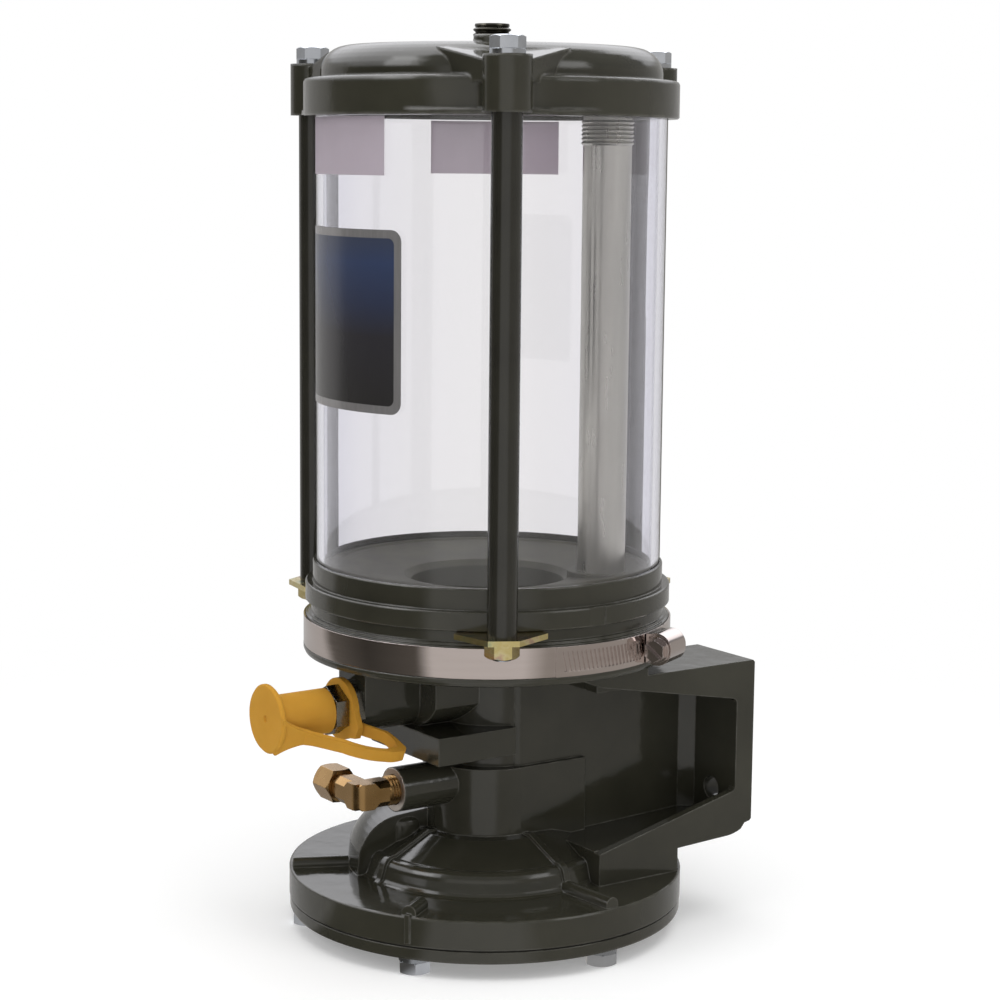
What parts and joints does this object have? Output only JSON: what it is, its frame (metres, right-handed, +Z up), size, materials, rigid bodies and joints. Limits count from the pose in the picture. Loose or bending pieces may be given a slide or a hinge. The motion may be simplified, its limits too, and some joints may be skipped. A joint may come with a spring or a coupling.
{
  "type": "pneumatic grease pump",
  "caption": "Air-operated grease pump: cast housing with bracket arms, clear cylindrical reservoir held by tie rods, capped fill coupler and brass outlet elbow.",
  "frame": {"origin": "centre of the base cover's underside, on the reservoir's axis; the base bolt heads stand below it", "axes": "+Z up along the reservoir's axis, +Y towards what the bracket arms bolt to, fill coupler and outlet towards -Y"},
  "size_m": [0.178, 0.2145, 0.3992],
  "materials": {
    "black_paint": "gloss black paint on cast metal",
    "machined_steel": "bright machined steel",
    "zinc_steel": "clear zinc plating",
    "yellow_zinc": "yellow chromated zinc plating",
    "band_stainless": "rolled stainless strip",
    "black_tube": "black painted steel tube",
    "galvanised": "galvanised pipe",
    "clear_acrylic": "clear polished plastic",
    "label_film": "satin label film",
    "yellow_plastic": "moulded yellow plastic",
    "brass": "turned brass",
    "black_rubber": "nitrile rubber",
    "gasket_fibre": "pressed fibre gasket",
    "dark_plug": "dark oiled steel"
  },
  "bodies": {
    "pump": {"pump_housing": "black_paint", "base_cover": "black_paint", "base_gasket": "gasket_fibre", "base_bolts": "zinc_steel", "base_lock_washers": "zinc_steel", "plunger_seal": "black_rubber", "plunger_cylinder": "machined_steel", "return_spring": "machined_steel", "check_spring": "machined_steel", "rim_gasket": "gasket_fibre", "reservoir_base": "black_paint", "lower_tube_seal": "black_rubber", "reservoir_tube": "clear_acrylic", "upper_tube_seal": "black_rubber", "vent_pipe": "galvanised", "top_cover": "black_paint", "vent_plug": "dark_plug", "tie_bolts": "zinc_steel", "tie_bolt_washers": "zinc_steel", "tie_rod_sleeves": "black_tube", "lug_plates": "yellow_zinc", "tie_rod_nuts": "yellow_zinc", "clamp_band": "band_stainless", "clamp_housing": "band_stainless", "fill_coupler": "zinc_steel", "coupler_spring": "machined_steel", "outlet_elbow": "brass", "elbow_nut": "brass", "elbow_ferrule": "brass", "level_labels": "label_film", "name_label": "label_film"},
    "piston": {"air_piston": "machined_steel", "piston_seal": "black_rubber", "plunger": "machined_steel"},
    "ball": {"check_ball": "machined_steel"},
    "poppet": {"coupler_poppet": "machined_steel"},
    "band_screw": {"clamp_screw": "band_stainless"},
    "cap": {"dust_cap": "yellow_plastic"}
  },
  "joints": [
    {"name": "piston_stroke", "type": "slide", "parent": "pump", "child": "piston", "axis": [0, 0, 1], "range_m": [0, 0.01], "stiffness_N_per_m": 2500, "springref_m": -0.004, "deforming": ["return_spring"]},
    {"name": "check_lift", "type": "slide", "parent": "pump", "child": "ball", "axis": [0, -1, 0], "range_m": [0, 0.001], "stiffness_N_per_m": 400, "springref_m": -0.002},
    {"name": "poppet_lift", "type": "slide", "parent": "pump", "child": "poppet", "axis": [0, 1, 0], "range_m": [0, 0.0012], "stiffness_N_per_m": 400, "springref_m": -0.002},
    {"name": "clamp_screw_turn", "type": "hinge", "parent": "pump", "child": "band_screw", "pos_m": [0.07902, 0.0394, 0.12755], "axis": [0.4462, -0.8949, 0], "continuous": true},
    {"name": "cap_swing", "type": "hinge", "parent": "pump", "child": "cap", "pos_m": [-0.007, -0.09, 0.097], "axis": [0, -1, 0], "range_deg": [-25, 25]}
  ]
}
